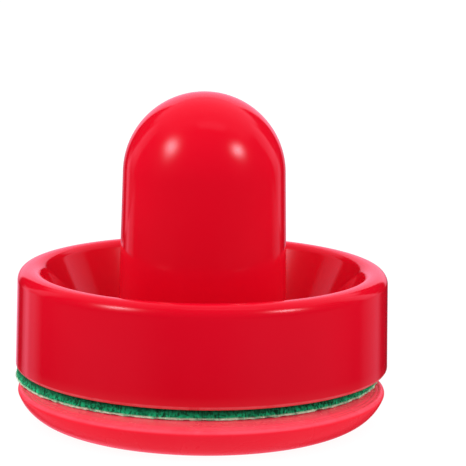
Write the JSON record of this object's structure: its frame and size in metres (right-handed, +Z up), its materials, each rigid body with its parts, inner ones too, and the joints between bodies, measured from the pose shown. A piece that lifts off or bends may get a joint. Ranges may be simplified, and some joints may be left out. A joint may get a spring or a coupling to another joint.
{
  "type": "air hockey striker and puck",
  "caption": "Hollow moulded striker with a domed handle, finger bowl and felt-covered base plate, standing slightly off centre on a flat round puck.",
  "frame": {"origin": "Centre of the puck's underside, on the plane of the table the puck rests on.", "axes": "+Z up along the puck's axis; -Y towards the viewer; +X to the viewer's right. The striker's own axis is parallel to Z at x = 0 mm, y = +10 mm."},
  "size_m": [0.0964, 0.1051, 0.0823],
  "materials": {
    "red_shell": "polished, as moulded",
    "red_plate": "fine texture",
    "screw_steel": "zinc plated",
    "adhesive": "matt film",
    "green_felt": "pressed felt",
    "red_puck": "semi-gloss, as moulded"
  },
  "bodies": {
    "puck": {"puck": "red_puck"},
    "striker": {"striker_shell": "red_shell", "base_plate": "red_plate", "base_screws": "screw_steel", "pad_adhesive": "adhesive", "felt_pad": "green_felt"}
  },
  "joints": [
    {"name": "striker_slide", "type": "slide", "parent": "puck", "child": "striker", "axis": [0, 1, 0], "range_m": [-0.05, 0.03]}
  ]
}
